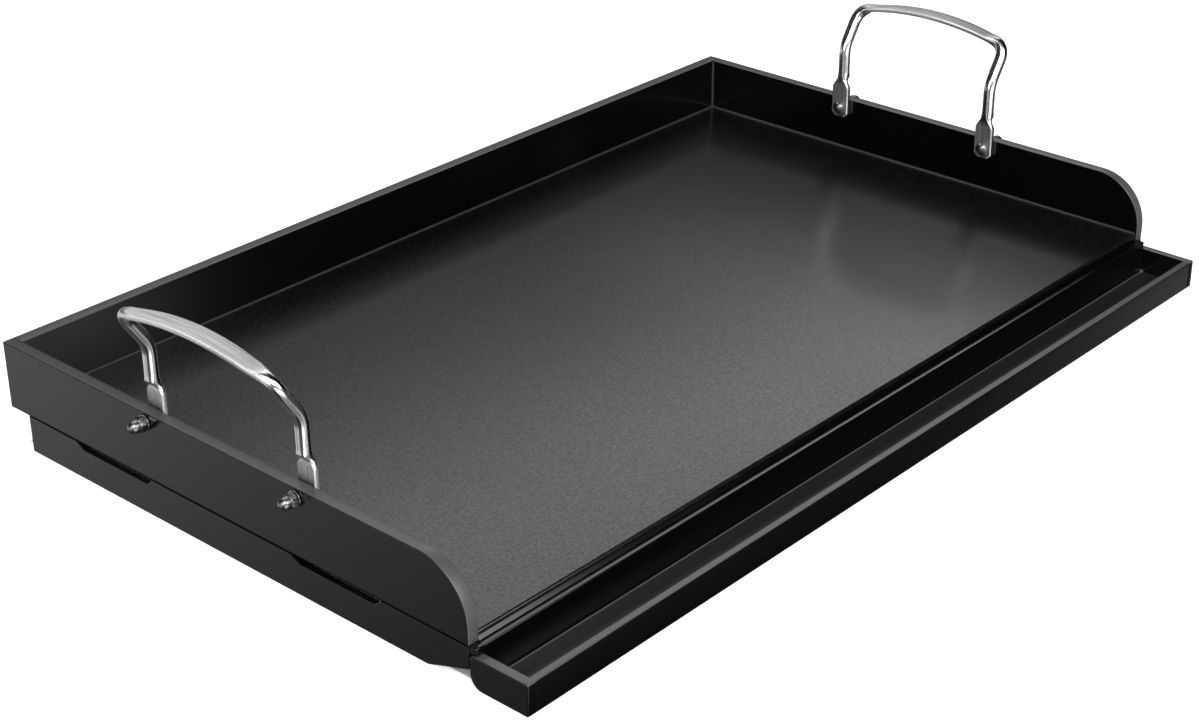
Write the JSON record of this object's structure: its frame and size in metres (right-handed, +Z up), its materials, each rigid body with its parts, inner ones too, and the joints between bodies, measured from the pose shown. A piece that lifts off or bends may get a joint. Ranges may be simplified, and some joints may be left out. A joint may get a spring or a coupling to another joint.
{
  "type": "flat-top griddle",
  "caption": "Rectangular coated steel griddle pan with three walls, an open front over a grease trough, vented side skirts, ribs under the plate and an arched rod handle at each end.",
  "frame": {"origin": "middle of the footprint, on the plane that the skirts and the trough stand on", "axes": "+X along the length to the right, +Y to the rear wall with the trough at -Y, +Z up"},
  "size_m": [0.6638, 0.409, 0.1376],
  "materials": {
    "nonstick_coating": "fine-grained matte non-stick coating",
    "black_powder_coat": "satin black coating",
    "stainless_rod": "bright, brushed on the flats",
    "polished_steel": "polished"
  },
  "bodies": {
    "root": {"cooking_plate": "nonstick_coating", "rear_wall": "black_powder_coat", "left_end_wall": "black_powder_coat", "right_end_wall": "black_powder_coat", "trough_channel": "black_powder_coat", "trough_left_cap": "black_powder_coat", "trough_right_cap": "black_powder_coat", "left_skirt": "black_powder_coat", "right_skirt": "black_powder_coat", "rear_skirt": "black_powder_coat", "cross_rib_1": "black_powder_coat", "cross_rib_2": "black_powder_coat", "cross_rib_3": "black_powder_coat", "long_rib_1": "black_powder_coat", "long_rib_2": "black_powder_coat", "left_handle": "stainless_rod", "right_handle": "stainless_rod", "handle_screw_left_rear": "polished_steel", "handle_screw_left_front": "polished_steel", "handle_screw_right_rear": "polished_steel", "handle_screw_right_front": "polished_steel", "handle_washer_left_rear": "polished_steel", "handle_washer_left_front": "polished_steel", "handle_washer_right_rear": "polished_steel", "handle_washer_right_front": "polished_steel", "acorn_nut_left_rear": "polished_steel", "acorn_nut_left_front": "polished_steel", "acorn_nut_right_rear": "polished_steel", "acorn_nut_right_front": "polished_steel"}
  },
  "joints": []
}
